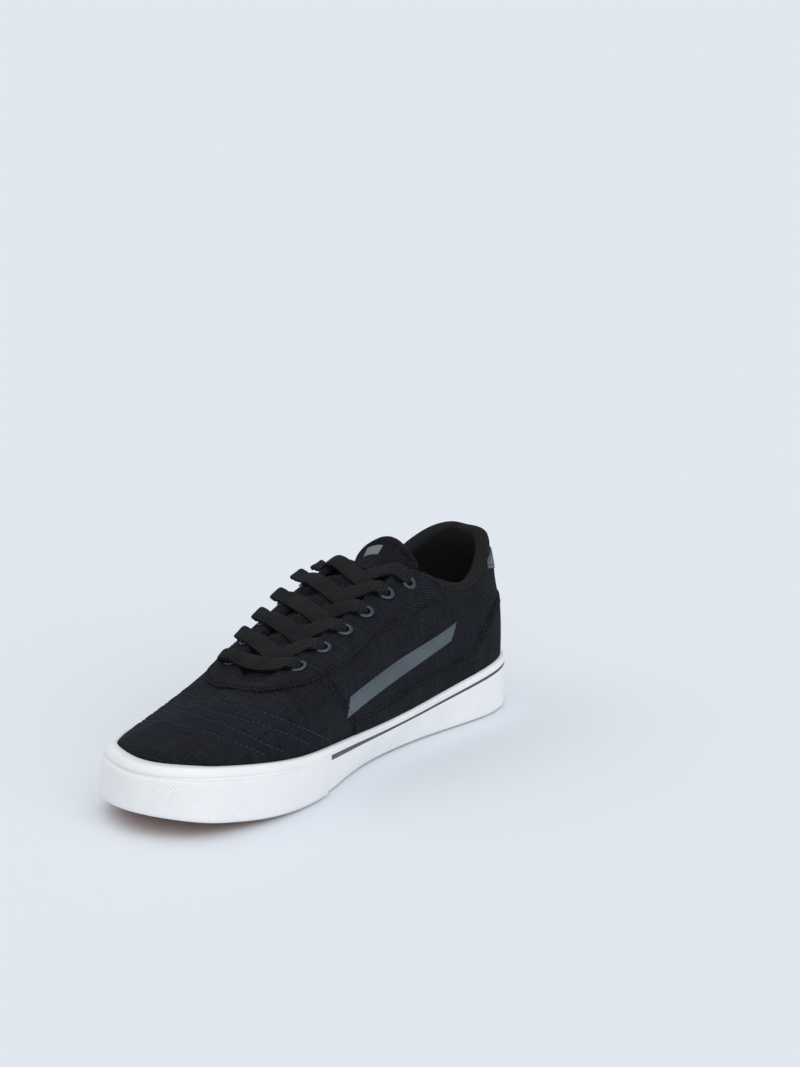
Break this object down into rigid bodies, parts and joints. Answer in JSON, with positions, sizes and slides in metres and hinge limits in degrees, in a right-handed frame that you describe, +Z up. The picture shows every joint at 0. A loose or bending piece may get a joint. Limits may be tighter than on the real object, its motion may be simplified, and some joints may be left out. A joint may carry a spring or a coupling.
{
  "type": "sneaker",
  "caption": "Low canvas skate sneaker for the right foot, with a hollow padded upper, a laced tongue, a white rubber cup sole with a toe bumper, and a gum outsole.",
  "frame": {"origin": "middle of the bounding box, on the floor that the sole stands on", "axes": "+X from heel to toe, +Y to the medial side, +Z up"},
  "size_m": [0.2974, 0.1102, 0.1065],
  "materials": {
    "black_canvas": "matte woven",
    "white_rubber": "satin moulded",
    "gum_rubber": "satin moulded",
    "grey_film": "satin film",
    "black_cord": "flat braid",
    "dark_enamel": "satin enamel",
    "black_lining": "matte mesh",
    "navy_rubber": "satin moulded"
  },
  "bodies": {
    "root": {"sole_cup": "white_rubber", "toe_bumper": "white_rubber", "outsole": "gum_rubber", "waist_plate": "navy_rubber", "insole": "black_lining", "upper": "black_canvas", "lace_stay": "black_canvas", "heel_counter": "black_canvas", "mudguard_medial": "black_canvas", "mudguard_lateral": "black_canvas", "heel_tab": "grey_film", "side_band_medial": "grey_film", "side_band_lateral": "grey_film", "tongue": "black_canvas", "eyelet_medial_1": "dark_enamel", "eyelet_medial_2": "dark_enamel", "eyelet_medial_3": "dark_enamel", "eyelet_medial_4": "dark_enamel", "eyelet_medial_5": "dark_enamel", "eyelet_medial_6": "dark_enamel", "eyelet_lateral_1": "dark_enamel", "eyelet_lateral_2": "dark_enamel", "eyelet_lateral_3": "dark_enamel", "eyelet_lateral_4": "dark_enamel", "eyelet_lateral_5": "dark_enamel", "eyelet_lateral_6": "dark_enamel", "lace": "black_cord"}
  },
  "joints": []
}
